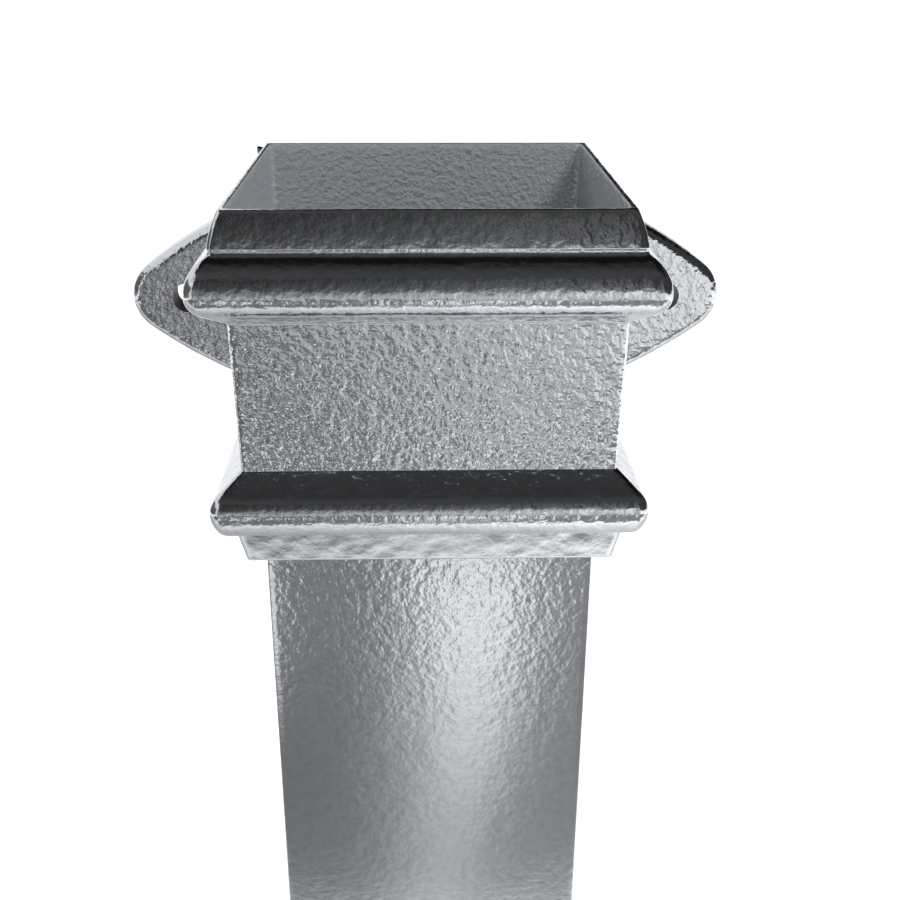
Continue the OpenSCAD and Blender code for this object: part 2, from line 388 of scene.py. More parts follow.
def select_where(piece, kind, test):
    """Selects the vertices, edges or faces of the mesh in edit mode that pass a test."""
    mesh = bmesh.from_edit_mesh(piece.data)
    bpy.ops.mesh.select_all(action="DESELECT")
    bpy.context.tool_settings.mesh_select_mode = (kind == "VERT", kind == "EDGE", kind == "FACE")
    found = {"VERT": mesh.verts, "EDGE": mesh.edges, "FACE": mesh.faces}[kind]
    for part in found:
        if test(part):
            part.select_set(True)
    mesh.select_flush_mode()
    bmesh.update_edit_mesh(piece.data)


def edge_on(plane_axis, place):
    return lambda edge: all(abs(v.co[plane_axis] - place) < TOUCH for v in edge.verts)


def start_ring(name, ring, front_r, back_r, density):
    """A square loop of edges with rounded corners, cut finely enough to take the cast skin."""
    half, front, back, z = ring
    middle = (front + back) / 2
    piece = new_plane(name)
    enter("EDIT")
    bpy.ops.transform.resize(value=(2 * half, back - front, 1), center_override=(0, 0, 0))
    bpy.ops.transform.translate(value=(0, middle, z))
    for radius, is_corner in (
        (front_r, lambda v: v.co.y < middle),
        (back_r, lambda v: v.co.y > middle),
    ):
        select_where(piece, "VERT", is_corner)
        bpy.ops.mesh.bevel(offset=radius, affect="VERTICES", segments=CORNER_STEPS)
    run = 2 * BEAD_HALF
    for plane_axis, place, step in (
        (1, front, density.front_step),
        (1, back, density.back_step),
        (0, -half, density.side_step),
        (0, half, density.side_step),
    ):
        select_where(piece, "EDGE", edge_on(plane_axis, place))
        bpy.ops.mesh.subdivide(number_cuts=round(run / step) - 1)
    select_all()
    bpy.ops.mesh.delete(type="ONLY_FACE")
    select_all()
    return piece


CORNER_STEPS = 4

# The inner shell is modelled this much longer at both ends, so that a bridge knows its direction
BRIDGE_LIFT = 1 * MM


def extrude_to(now, then):
    """Extrudes the selected loop of edges and fits it to the next ring."""
    half, front, back, z = now
    next_half, next_front, next_back, next_z = then
    step = (0, next_back - back, next_z - z)
    bpy.ops.mesh.extrude_region_move(TRANSFORM_OT_translate={"value": step})
    bpy.ops.transform.resize(
        value=(next_half / half, (next_back - next_front) / (back - front), 1),
        center_override=(0, next_back, next_z),
    )


def extrude_along(rings):
    for now, then in zip(rings, rings[1:]):
        extrude_to(now, then)


def cut_stretch(piece, top, bottom, step):
    """Cuts the straight stretch between two rings into even rows."""
    ends = sorted((top, bottom))
    cuts = round((ends[1] - ends[0]) / step) - 1

    def spans(edge):
        low, high = sorted(v.co.z for v in edge.verts)
        return abs(low - ends[0]) < TOUCH and abs(high - ends[1]) < TOUCH

    select_where(piece, "EDGE", spans)
    if cuts > 0:
        bpy.ops.mesh.subdivide(number_cuts=cuts)


def soften_bead_corners(piece, socket, outline):
    """Widens the rounding of the front corners where the outline stands out furthest."""
    worn = [(half, z) for half, z in outline if half > WORN_FROM]
    for half, z in worn:
        reach = CORNER_REACH * socket.arris_r * half / RIM_HALF
        wear = min(1.0, (half - WORN_FROM) / WORN_OVER)
        widen = 1.0 + (socket.bead_arris - 1.0) * wear
        for side in (-1, 1):
            corner = Vector((side * half, AXIS_Y - half))
            select_where(
                piece,
                "VERT",
                lambda v: abs(v.co.z - z) < TOUCH
                and abs(v.co.x - corner.x) < reach
                and abs(v.co.y - corner.y) < reach,
            )
            bpy.ops.transform.resize(value=(widen, widen, 1), center_override=(corner.x, corner.y, z))


# A corner's points lie within its radius and this much more
CORNER_REACH = 1.01

# The beads' corners are worn rounder where the outline stands out more than this, fully so further out
WORN_FROM = 45.5 * MM
WORN_OVER = 2.0 * MM


def model_outside(sizes):
    """The casting's outside, from the rim down to the spigot end."""
    socket, density = sizes.socket, sizes.mesh
    pipe_half = sizes.pipe.width / 2
    guide_half = pipe_half + socket.guide_gap
    upper = upper_outline(socket, sizes.upper, guide_half, density.arc_step)
    lower = lower_outline(socket, sizes.lower, guide_half, density.arc_step)
    neck_z = neck_foot(socket)
    near_z = neck_z - density.near_pipe
    edge = sizes.pipe.end_edge_r
    end_arc = arc((pipe_half - edge, SPIGOT_Z + edge), edge, 0, -math.pi / 2, edge / 2)
    rings = [moulded(point) for point in upper + fold_points(upper, lower) + lower]
    rings += [centred(pipe_half, neck_z), centred(pipe_half, neck_z - FOLD), centred(pipe_half, near_z)]
    rings += [centred(half, z) for half, z in end_arc]
    piece = start_ring("outside", rings[0], socket.arris_r, socket.back_corner_r, density)
    extrude_along(rings)
    soften_bead_corners(piece, socket, upper + lower)
    reach = CORNER_REACH * socket.arris_r * pipe_half / RIM_HALF
    for side in (-1, 1):
        corner = Vector((side * pipe_half, AXIS_Y - pipe_half))
        select_where(
            piece,
            "VERT",
            lambda v: v.co.z < neck_z + TOUCH and (v.co.xy - corner).length < reach,
        )
        bpy.ops.transform.resize(
            value=(sizes.pipe.corner_share, sizes.pipe.corner_share, 1),
            center_override=(corner.x, corner.y, 0),
        )
    band_top, band_foot = fold_points(upper, lower)
    cut_stretch(piece, band_top[1], band_foot[1], density.pipe_step)
    cut_stretch(piece, neck_z - FOLD, near_z, density.pipe_step)
    cut_stretch(piece, near_z, end_arc[0][1], density.far_step)
    enter("OBJECT")
    return piece


def model_inside(sizes):
    """The waterway, from the rim's inner edge down through mouth, guide and bore."""
    socket, density = sizes.socket, sizes.mesh
    pipe_half = sizes.pipe.width / 2
    mouth_half = pipe_half + socket.mouth_gap
    guide_half = pipe_half + socket.guide_gap
    bore_half = pipe_half - sizes.pipe.wall
    mouth_z = RIM_Z - socket.mouth_depth
    guide_z = mouth_z - (mouth_half - guide_half)
    edge = socket.rim_edge_r
    rim_edge = arc((mouth_half + edge, RIM_Z - edge), edge, math.pi / 2, math.pi, edge)
    rim_edge[0] = (rim_edge[0][0], RIM_Z + BRIDGE_LIFT)
    corners = rim_edge + [
        (mouth_half, mouth_z),
        (guide_half, guide_z),
        (guide_half, SEAT_Z),
        (bore_half, SEAT_Z),
        (bore_half, SPIGOT_Z - BRIDGE_LIFT),
    ]
    rings = [centred(half, z) for half, z in corners]
    round_r = socket.inside_corner_r
    piece = start_ring("inside", rings[0], round_r, round_r, density)
    extrude_along(rings)
    cut_stretch(piece, rim_edge[-1][1], mouth_z, density.inside_step)
    cut_stretch(piece, guide_z, SEAT_Z, 2 * density.inside_step)
    cut_stretch(piece, SEAT_Z, SPIGOT_Z - BRIDGE_LIFT, density.bore_step)
    enter("OBJECT")
    return piece


def close_ends(outside, inside):
    """Joins the two shells and bridges them at the rim and at the spigot end."""
    make_active(outside, inside)
    bpy.ops.object.join()
    enter("EDIT")
    for place, lift in ((RIM_Z, BRIDGE_LIFT), (SPIGOT_Z, -BRIDGE_LIFT)):

        def open_edge(edge):
            near = all(abs(v.co.z - place) < abs(lift) + TOUCH for v in edge.verts)
            return edge.is_boundary and near

        select_where(outside, "EDGE", open_edge)
        bpy.ops.mesh.bridge_edge_loops()
        select_where(outside, "VERT", lambda v: abs(v.co.z - place - lift) < TOUCH)
        bpy.ops.transform.translate(value=(0, 0, -lift))
    select_all()
    bpy.ops.mesh.normals_make_consistent(inside=False)
    enter("OBJECT")
    return outside


def model_ear(sizes):
    """The right ear: a lens outline spun from its nose, given its thickness, edge and hole."""
    ears, density = sizes.ears, sizes.mesh
    nose_x = BODY_HIGH.x - ears.nose_r
    long_r = (nose_x**2 + (ears.height / 2) ** 2 - ears.nose_r**2) / (ears.height - 2 * ears.nose_r)
    drop = long_r - ears.height / 2
    nose_turn = math.atan2(drop, nose_x)
    root_turn = math.acos(ears.root_x / long_r) - nose_turn
    root_z = long_r * math.sin(nose_turn + root_turn) - drop
    front = -ears.thickness
    ear = new_plane("ear")
    enter("EDIT")
    bpy.context.tool_settings.mesh_select_mode = (True, False, False)
    bpy.ops.mesh.merge(type="CENTER")
    bpy.ops.transform.translate(value=(BODY_HIGH.x, front, 0))
    nose_steps = math.ceil(ears.nose_r * nose_turn / density.arc_step)
    long_steps = math.ceil(long_r * root_turn / density.side_step)
    up = (0, 1, 0)
    bpy.ops.mesh.spin(steps=nose_steps, angle=nose_turn, center=(nose_x, front, 0), axis=up)
    bpy.ops.mesh.spin(steps=long_steps, angle=root_turn, center=(0, front, -drop), axis=up)
    bpy.ops.mesh.extrude_region_move(TRANSFORM_OT_translate={"value": (0, 0, -2 * root_z)})
    bpy.ops.mesh.spin(steps=long_steps, angle=root_turn, center=(0, front, drop), axis=up)
    bpy.ops.mesh.spin(steps=nose_steps, angle=nose_turn, center=(nose_x, front, 0), axis=up)
    select_all()
    bpy.ops.mesh.remove_doubles(threshold=TOUCH)
    bpy.ops.mesh.edge_face_add()
    bpy.ops.mesh.extrude_region_move(TRANSFORM_OT_translate={"value": (0, ears.thickness, 0)})
    select_where(
        ear,
        "EDGE",
        lambda e: edge_on(1, front)(e) and any(v.co.x > ears.root_x + TOUCH for v in e.verts),
    )
    bpy.ops.mesh.bevel(offset=ears.edge_r, affect="EDGES", segments=EAR_EDGE_STEPS)
    grid_cuts(ear, 0, ears.root_x, BODY_HIGH.x, density.side_step)
    grid_cuts(ear, 2, -root_z, root_z, density.side_step)
    select_all()
    bpy.ops.mesh.normals_make_consistent(inside=False)
    enter("OBJECT")
    bpy.ops.mesh.primitive_cylinder_add(
        vertices=HOLE_SIDES,
        radius=HOLE_R,
        depth=HOLE_CUT * ears.thickness,
        location=(HOLE_X, 0, 0),
        rotation=(math.pi / 2, 0, 0),
    )
    combine(ear, bpy.context.object, "DIFFERENCE")
    return ear


# The ears' rounded edge, and the drill: its sides, and its length in thicknesses of the ear
EAR_EDGE_STEPS = 5
HOLE_SIDES = 48
HOLE_CUT = 4


def give_material(piece, material, test):
    """Gives a material to the faces that pass a test."""
    piece.data.materials.append(material)
    make_active(piece)
    enter("EDIT")
    select_where(piece, "FACE", test)
    piece.active_material_index = len(piece.data.materials) - 1
    bpy.ops.object.material_slot_assign()
    enter("OBJECT")


def in_hole(place):
    return math.hypot(abs(place.x) - HOLE_X, place.z) < HOLE_R + HOLE_MARGIN


# Points this near to a hole's wall count as its own
HOLE_MARGIN = 0.2 * MM


def model_spur(sizes):
    """The small casting spur beside the rim's left back corner."""
    spur = sizes.spur
    start_afresh()
    bpy.ops.mesh.primitive_cone_add(
        vertices=SPUR_SIDES,
        radius1=spur.root_r,
        radius2=spur.tip_r,
        depth=spur.reach + spur.root_r,
        location=(0, 0, 0),
    )
    piece = bpy.context.object
    piece.name = "spur"
    enter("EDIT")
    select_all()
    bpy.ops.transform.rotate(value=math.radians(-90), orient_axis="Y", center_override=(0, 0, 0))
    bpy.ops.transform.translate(
        value=(
            -RIM_HALF - (spur.reach - spur.root_r) / 2,
            -spur.root_r - TOUCH,
            RIM_Z - spur.below_rim,
        )
    )
    enter("OBJECT")
    return piece


SPUR_SIDES = 7


def grid_cuts(piece, plane_axis, low, high, step):
    """Cuts the whole mesh by evenly spaced planes, so that its flat faces take the cast skin."""
    count = round((high - low) / step)
    normal = [0.0, 0.0, 0.0]
    normal[plane_axis] = 1.0
    for i in range(1, count):
        place = [0.0, 0.0, 0.0]
        place[plane_axis] = low + (high - low) * i / count
        select_all()
        bpy.ops.mesh.bisect(plane_co=place, plane_no=normal)


def combine(piece, tool, operation):
    """Applies a boolean of the tool to the piece, and removes the tool."""
    make_active(piece)
    cutter = piece.modifiers.new("combine", "BOOLEAN")
    cutter.operation = operation
    cutter.object = tool
    cutter.solver = "EXACT"
    bpy.ops.object.modifier_apply(modifier=cutter.name)
    bpy.data.objects.remove(tool)


def mirrored_copy(piece):
    twin = piece.copy()
    twin.data = piece.data.copy()
    bpy.context.scene.collection.objects.link(twin)
    make_active(twin)
    enter("EDIT")
    select_all()
    bpy.ops.transform.resize(value=(-1, 1, 1), center_override=(0, 0, 0))
    bpy.ops.mesh.flip_normals()
    enter("OBJECT")
    return twin


def roughen(piece, name, size, depth):
    """Swells the surface in and out along its normals by a soft noise of a given width and height."""
    make_active(piece)
    noise = bpy.data.textures.new(name, "CLOUDS")
    noise.noise_scale = size
    noise.noise_depth = 1
    swell = piece.modifiers.new(name, "DISPLACE")
    swell.texture = noise
    swell.texture_coords = "LOCAL"
    swell.direction = "NORMAL"
    swell.vertex_group = "cast_skin"
    swell.strength = depth
    swell.mid_level = SWELL_MIDDLE
    bpy.ops.object.modifier_apply(modifier=swell.name)


# The shade of the noise that leaves the surface where it is
SWELL_MIDDLE = 0.62

# The skin stays plain this near to the wall plane and to the spigot end
WALL_MARGIN = 0.3 * MM
END_MARGIN = 0.6 * MM


def mark_cast_skin(piece, sizes):
    """Weights that spare the wall plane, the holes and the spigot end, and keep the pipe smoother."""
    group = piece.vertex_groups.new(name="cast_skin")
    neck_z = neck_foot(sizes.socket)
    for vertex in piece.data.vertices:
        place = vertex.co
        on_wall = place.y > -WALL_MARGIN
        on_end = place.z < SPIGOT_Z + END_MARGIN
        if in_hole(place) or on_wall or on_end:
            continue
        weight = sizes.finish.pipe_share if place.z < neck_z else 1.0
        group.add([vertex.index], weight, "REPLACE")


# Finishes


def feed(tree, socket, value):
    """Links a socket to another one, or gives it a plain value."""
    if isinstance(value, bpy.types.NodeSocket):
        tree.links.new(value, socket)
    else:
        socket.default_value = value


def node_at(tree, kind, inputs=None, **values):
    """Adds a node with its settings, and feeds its inputs by name or by place."""
    node = tree.nodes.new(kind)
    for key, value in values.items():
        setattr(node, key, value)
    for place, value in (inputs or {}).items():
        feed(tree, node.inputs[place], value)
    return node


def join_maths(tree, operation, *values, clamp=False):
    """One math node whose inputs are sockets or plain numbers."""
    inputs = dict(enumerate(values))
    return node_at(tree, "ShaderNodeMath", inputs, operation=operation, use_clamp=clamp).outputs[0]


def mixed(tree, amount, first, second):
    """Mixes two colours, each a socket or plain, by an amount from 0 to 1."""
    inputs = {0: amount, MIX_FIRST: first, MIX_SECOND: second}
    return node_at(tree, "ShaderNodeMix", inputs, data_type="RGBA").outputs[MIX_RESULT]


# Where the mix node has its colours
MIX_FIRST, MIX_SECOND, MIX_RESULT = 6, 7, 2


def coordinates(tree):
    """A point's own x, y and z."""
    place = node_at(tree, "ShaderNodeTexCoord").outputs["Object"]
    return node_at(tree, "ShaderNodeSeparateXYZ", {0: place}).outputs


def cast_skin_group():
    """The wrinkled skin of a casting: its height, and a mask of its hollows, where the finish paints
    shade.
    """
    group = bpy.data.node_groups.new("cast_skin", "ShaderNodeTree")
    for name, in_out, kind in (
        ("Place", "INPUT", "NodeSocketVector"),
        ("Wrinkles per metre", "INPUT", "NodeSocketFloat"),
        ("Height", "OUTPUT", "NodeSocketFloat"),
        ("Hollows", "OUTPUT", "NodeSocketFloat"),
    ):
        group.interface.new_socket(name=name, in_out=in_out, socket_type=kind)
    place, per_metre = node_at(group, "NodeGroupInput").outputs[:2]
    inputs = {
        "Vector": place,
        "Scale": per_metre,
        "Detail": WRINKLE_DETAIL,
        "Roughness": WRINKLE_ROUGHNESS,
    }
    wrinkles = node_at(group, "ShaderNodeTexNoise", inputs).outputs["Fac"]
    scale = join_maths(group, "MULTIPLY", per_metre, GRAINS_PER_WRINKLE)
    inputs = {"Vector": place, "Scale": scale, "Smoothness": GRAIN_SMOOTHNESS}
    grains = node_at(group, "ShaderNodeTexVoronoi", inputs, feature="SMOOTH_F1")
    dome = join_maths(group, "MULTIPLY", grains.outputs["Distance"], GRAIN_RISE)
    height = join_maths(group, "ADD", dome, wrinkles)
    inputs = {"Value": wrinkles, "From Min": HOLLOW_SHADE_STARTS, "From Max": HOLLOW_SHADE_FULL}
    # The hollows' mask, which lays painted shade into the base colour
    hollows = node_at(group, "ShaderNodeMapRange", inputs).outputs[0]
    node_at(group, "NodeGroupOutput", {"Height": height, "Hollows": hollows})
    return group


# The cast skin: wrinkles, with rounded grains whose height falls away from their middle
WRINKLE_DETAIL = 2.0
WRINKLE_ROUGHNESS = 0.55
GRAIN_SMOOTHNESS = 0.8
GRAINS_PER_WRINKLE = 1.4
GRAIN_RISE = -0.13

# The wrinkles' heights between which the painted shade of the hollows comes in
HOLLOW_SHADE_STARTS, HOLLOW_SHADE_FULL = 0.55, 0.35


def metal_over_skin(name, tones, skin, metallic, roughness, wrinkle_size):
    """A finish whose tone, of two, follows the skin, the darker one a painted shade in its hollows; the
    bump's depth is still to be set.
    """
    material = bpy.data.materials.new(name)
    material.use_nodes = True
    tree = material.node_tree
    place = node_at(tree, "ShaderNodeTexCoord").outputs["Object"]
    inputs = {"Place": place, "Wrinkles per metre": 1 / wrinkle_size}
    wrinkles = node_at(tree, "ShaderNodeGroup", inputs, node_tree=skin)
    bump = node_at(tree, "ShaderNodeBump", {"Height": wrinkles.outputs["Height"]})
    shader = tree.nodes["Principled BSDF"]
    for socket, value in (
        ("Base Color", mixed(tree, wrinkles.outputs["Hollows"], *[(*tone, 1) for tone in tones])),
        ("Metallic", metallic),
        ("Roughness", roughness),
        ("Normal", bump.outputs["Normal"]),
    ):
        feed(tree, shader.inputs[socket], value)
    return material, bump


def outside_material(sizes, skin):
    """Glossy metal, deeply wrinkled on the plain band, less on the mouldings, calm on neck and pipe."""
    finish = sizes.finish
    # The plain metal, and its painted shade in the skin's hollows
    tones = (finish.metal, finish.metal_hollow_shade)
    material, bump = metal_over_skin(
        "casting_outside", tones, skin, finish.metallic, finish.roughness, finish.wrinkle_size
    )
    tree = material.node_tree
    z = coordinates(tree)["Z"]
    neck_z = neck_foot(sizes.socket)
    inputs = {
        "Value": z,
        "From Min": neck_z - finish.pipe_fade,
        "From Max": neck_z,
        "To Min": finish.pipe_depth,
        "To Max": finish.pipe_top_depth,
    }
    depth = node_at(tree, "ShaderNodeMapRange", inputs).outputs[0]
    guide_half = sizes.pipe.width / 2 + sizes.socket.guide_gap
    step = sizes.mesh.arc_step
    band_top = upper_outline(sizes.socket, sizes.upper, guide_half, step)[-1][1]
    band_foot = lower_outline(sizes.socket, sizes.lower, guide_half, step)[0][1]
    middle, reach = (band_top + band_foot) / 2, (band_top - band_foot) / 2
    on_neck = join_maths(tree, "GREATER_THAN", z, neck_z)
    on_socket = join_maths(tree, "GREATER_THAN", z, neck_z + finish.neck_height)
    on_band = join_maths(tree, "COMPARE", z, middle, reach)
    for mask, rise in (
        (on_neck, finish.neck_depth - finish.pipe_top_depth),
        (on_socket, finish.socket_depth - finish.neck_depth),
        (on_band, finish.band_depth - finish.socket_depth),
    ):
        depth = join_maths(tree, "MULTIPLY_ADD", mask, rise, depth)
    feed(tree, bump.inputs["Distance"], depth)
    return material


def inside_material(sizes, skin):
    """The duller skin of the waterway."""
    finish = sizes.finish
    material, bump = metal_over_skin(
        "casting_inside",
        # The plain metal, and its painted shade in the skin's hollows
        (finish.metal, finish.metal_hollow_shade),
        skin,
        finish.metallic_inside,
        finish.roughness_inside,
        finish.wrinkle_size_inside,
    )
    bump.inputs["Distance"].default_value = finish.inside_depth
    return material


def hole_shade_material(sizes, skin):
    """The drilled holes' walls, coloured near black as painted shade."""
    finish = sizes.finish
    material, bump = metal_over_skin(
        "drilled_holes", (finish.hole_shade, finish.hole_shade), skin, 0.0, HOLE_ROUGHNESS, finish.wrinkle_size
    )
    bump.inputs["Distance"].default_value = finish.pipe_depth
    return material


HOLE_ROUGHNESS = 0.6


# Faces that meet more sharply than this keep a crisp edge
CREASE_ANGLE = math.radians(38)


# Operators


class DOWNPIPE_OT_casting(bpy.types.Operator):
    """Models the one-piece casting with its mouldings, ears and waterway"""

    bl_idname = "downpipe.casting"
    bl_label = "Casting"

    def execute(self, context):
        sizes = settings()
        skin = cast_skin_group()
        outside, inside = model_outside(sizes), model_inside(sizes)
        outside.data.materials.append(outside_material(sizes, skin))
        inside.data.materials.append(inside_material(sizes, skin))
        shell = close_ends(outside, inside)
        ear = model_ear(sizes)
        twin = mirrored_copy(ear)
        combine(shell, ear, "UNION")
        combine(shell, twin, "UNION")
        combine(shell, model_spur(sizes), "UNION")
        shell.name = shell.data.name = "downpipe_casting"
        mark_cast_skin(shell, sizes)
        finish = sizes.finish
        roughen(shell, "soft_swellings", finish.swell_size, finish.swell_depth)
        roughen(shell, "small_lumps", finish.lump_size, finish.lump_depth)
        # The holes' walls take the near-black painted shade
        give_material(
            shell, hole_shade_material(sizes, skin), lambda face: all(in_hole(v.co) for v in face.verts)
        )
        make_active(shell)
        bpy.ops.object.shade_smooth_by_angle(angle=CREASE_ANGLE)
        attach(shell, BODY)
        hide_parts("downpipe")
        return {"FINISHED"}


class DOWNPIPE_OT_stage(bpy.types.Operator):
    """Lays the floor and sets the lights and the camera"""

    bl_idname = "downpipe.stage"
    bl_label = "Stage"

    def execute(self, context):
        studio = settings().studio
        lay_floor(studio)
        light_room(studio)
        set_cards()
        hang_mouth_lamp(studio)
        place_camera()
        bpy.context.scene.view_settings.view_transform = "Standard"
        return {"FINISHED"}


# Stage


def seen_directly(tree):
    """A mask of the rays that show the background: from the camera, off metal and through glass."""
    path = node_at(tree, "ShaderNodeLightPath").outputs
    seen = join_maths(tree, "ADD", path["Is Camera Ray"], path["Is Glossy Ray"])
    return join_maths(tree, "ADD", seen, path["Is Transmission Ray"], clamp=True)


def bare_tree(piece, name):
    """Gives the piece a material with nothing in it yet, and returns its node tree."""
    material = bpy.data.materials.new(name)
    material.use_nodes = True
    material.node_tree.nodes.clear()
    piece.data.materials.append(material)
    return material.node_tree


FLOOR_WIDTH = 40


def lay_floor(studio):
    """A wide pale floor under the spigot end, that shows white and keeps the shadow."""
    floor = new_plane("floor", FLOOR_WIDTH)
    enter("EDIT")
    bpy.ops.transform.translate(value=(0, 0, SPIGOT_Z))
    enter("OBJECT")
    tree = bare_tree(floor, "pale_floor")
    matt = node_at(tree, "ShaderNodeBsdfDiffuse", {"Color": (*studio.floor, 1)})
    shown = join_maths(tree, "MULTIPLY", seen_directly(tree), studio.floor_glow)
    glow = node_at(tree, "ShaderNodeEmission", {"Strength": shown})
    both = node_at(tree, "ShaderNodeAddShader", {0: matt.outputs[0], 1: glow.outputs[0]})
    node_at(tree, "ShaderNodeOutputMaterial", {"Surface": both.outputs[0]})


def light_room(studio):
    """Even light from all round; the background itself shows white."""
    world = bpy.data.worlds.new("room")
    bpy.context.scene.world = world
    world.use_nodes = True
    world.cycles.sampling_method = "NONE"
    tree = world.node_tree
    shade = tree.nodes["Background"]
    extra = join_maths(tree, "MULTIPLY", seen_directly(tree), 1.0 - studio.room_light)
    feed(tree, shade.inputs["Color"], grey(1))
    feed(tree, shade.inputs["Strength"], join_maths(tree, "ADD", extra, studio.room_light))


def card(name, low, high):
    """A flat studio card between two corners, seen in the metal only. Returns its node tree."""
    low, high = Vector(low), Vector(high)
    thin = min(range(3), key=lambda i: high[i] - low[i])
    facing = Vector([float(i == thin) for i in range(3)])
    board = new_plane(name)
    board.data.transform(facing.to_track_quat("Z", "Y").to_matrix().to_4x4())
    size = high - low
    stretch = Matrix.Diagonal([size[i] if i != thin else 1.0 for i in range(3)]).to_4x4()
    board.data.transform(Matrix.Translation((low + high) / 2) @ stretch)
    tree = bare_tree(board, name)
    glow = node_at(tree, "ShaderNodeEmission", name="glow")
    node_at(tree, "ShaderNodeOutputMaterial", {"Surface": glow.outputs[0]})
    board.visible_camera = False
    board.visible_diffuse = False
    board.visible_shadow = False
    return tree


def grey(brightness):
    return (brightness, brightness, brightness, 1)


def ramp(tree, source, stops):
    """Greys along a value, from stops that are each a place and a brightness."""
    low, high = stops[0][0], stops[-1][0]
    spread = node_at(tree, "ShaderNodeMapRange", {"Value": source, "From Min": low, "From Max": high})
    node = node_at(tree, "ShaderNodeValToRGB", {"Fac": spread.outputs[0]})
    elements = node.color_ramp.elements
    elements[0].color = grey(stops[0][1])
    elements[1].color = grey(stops[-1][1])
    for place, brightness in stops[1:-1]:
        elements.new((place - low) / (high - low)).color = grey(brightness)
    return node.outputs["Color"]


def paint(tree, shade):
    feed(tree, tree.nodes["glow"].inputs["Color"], shade)


def crossed(tree, across, across_stops, along, along_stops):
    """A shade that follows one ramp across and another one along."""
    across_shade = ramp(tree, across, across_stops)
    return join_maths(tree, "MULTIPLY", across_shade, ramp(tree, along, along_stops))


def floor_mat_shade(tree):
    """The mat's brightness, by how far ahead a point lies and how far to the side, as a slope."""
    x, y, _ = coordinates(tree)
    ahead = join_maths(tree, "SUBTRACT", MIRRORED_Y, y)
    side = join_maths(tree, "DIVIDE", x, join_maths(tree, "MAXIMUM", ahead, MAT_NEAREST))
    shades = {
        0: ramp(tree, side, STREAK_ACROSS),
        1: ramp(tree, ahead, STREAK_ALONG),
        2: ramp(tree, side, MAT_LEFT),
    }
    streak = node_at(tree, "ShaderNodeVectorMath", shades, operation="MULTIPLY_ADD")
    slope, start, widest = MAT_RIGHT_EDGE
    edge = join_maths(tree, "MULTIPLY", ahead, slope)
    edge = join_maths(tree, "ADD", edge, start)
    edge = join_maths(tree, "MINIMUM", edge, widest)
    beyond = ramp(tree, join_maths(tree, "SUBTRACT", side, edge), MAT_EDGE_BLUR)
    middle = mixed(tree, beyond, streak.outputs[0], grey(MAT_RIGHT))
    slanted = join_maths(tree, "MULTIPLY_ADD", side, MAT_FAR_SLANT, ahead)
    far = crossed(tree, side, MAT_FAR_ACROSS, slanted, MAT_FAR_ALONG)
    near = crossed(tree, x, MAT_NEAR_ACROSS, ahead, MAT_NEAR_ALONG)
    outer = mixed(tree, ramp(tree, ahead, MAT_FAR_START), middle, far)
    patch = crossed(tree, side, PATCH_ACROSS, ahead, PATCH_ALONG)
    outer = join_maths(tree, "MAXIMUM", outer, patch)
    return mixed(tree, ramp(tree, ahead, MAT_NEAR_END), near, outer)


def set_cards():
    """Dark cards overhead, in front and behind, and a shaded floor mat, as the metal shows them."""
    tree = card("ceiling_card", *CEILING_CORNERS)
    y = coordinates(tree)[1]
    paint(tree, ramp(tree, join_maths(tree, "SUBTRACT", MIRRORED_Y, y), CEILING))
    tree = card("front_card", *FRONT_CORNERS)
    x, _, z = coordinates(tree)
    paint(tree, crossed(tree, x, FRONT_ACROSS, z, FRONT))
    for name, low, high, brightness in EVEN_CARDS:
        paint(card(name, low, high), grey(brightness))
    tree = card("floor_mat", *MAT_CORNERS)
    paint(tree, floor_mat_shade(tree))


# The cards by their opposite corners, in metres, the even ones with their brightness
CEILING_CORNERS = ((-2.0, -3.2, 2.5), (6.0, 4.0, 2.5))
FRONT_CORNERS = ((-2.2, -3.0, SPIGOT_Z), (0.62, -3.0, 2.6))
MAT_CORNERS = ((-1.6, -3.0, SPIGOT_Z + 0.01), (1.2, 0.9, SPIGOT_Z + 0.01))
EVEN_CARDS = (
    ("front_right_card", (0.62, -3.0, 0.05), (3.2, -3.0, 2.6), 0.05),
    ("right_card", (3.2, -3.0, -0.2), (3.2, 4.0, 2.5), 0.05),
    ("left_card", (-3.2, -3.0, SPIGOT_Z), (-3.2, 2.0, 1.6), 0.14),
    ("back_card", (-0.45, 3.0, 0.2), (3.2, 3.0, 2.6), 0.02),
)

# The front of the pipe mirrors the room as seen from this far behind the wall plane. The shades go
# by the distance ahead of there, and by slope, which is the distance aside over the one ahead
MIRRORED_Y = 0.16

# The ceiling by the distance ahead, and the front card by its height and its place across
CEILING = ((0.28, 0.008), (0.5, 0.03), (0.9, 0.04), (1.45, 0.06), (2.6, 0.075), (3.36, 0.055))
FRONT = (
    (-0.644, 0.62), (-0.3, 0.56), (0.05, 0.42), (0.35, 0.18), (0.75, 0.12), (1.5, 0.10), (2.6, 0.06)
)
FRONT_ACROSS = ((-0.7, 0.45), (-0.3, 0.75), (0.0, 0.95), (0.35, 1.3), (0.6, 2.0))

# The floor mat by slope, with a bright streak over it that fades at both ends
MAT_LEFT = (
    (-0.3, 0.19), (-0.08, 0.205), (-0.06, 0.245), (-0.04, 0.32),
    (-0.02, 0.46), (0.0, 0.56), (0.02, 0.62),
)
STREAK_ACROSS = ((0.0, 0.0), (0.025, 1.0), (0.065, 1.0), (0.105, 0.0))
STREAK_ALONG = ((0.78, 0.0), (1.0, 0.6), (1.2, 1.05), (1.4, 1.15), (1.5, 0.4), (1.56, 0.0))

# Its even shade on the right. Where that starts grows with the distance ahead: rate, start and end
MAT_RIGHT = 0.29
MAT_RIGHT_EDGE = (0.2, -0.107, 0.105)
MAT_EDGE_BLUR = ((-0.02, 0.0), (0.02, 1.0))

# Slopes are reckoned from at least this far ahead
MAT_NEAREST = 0.3

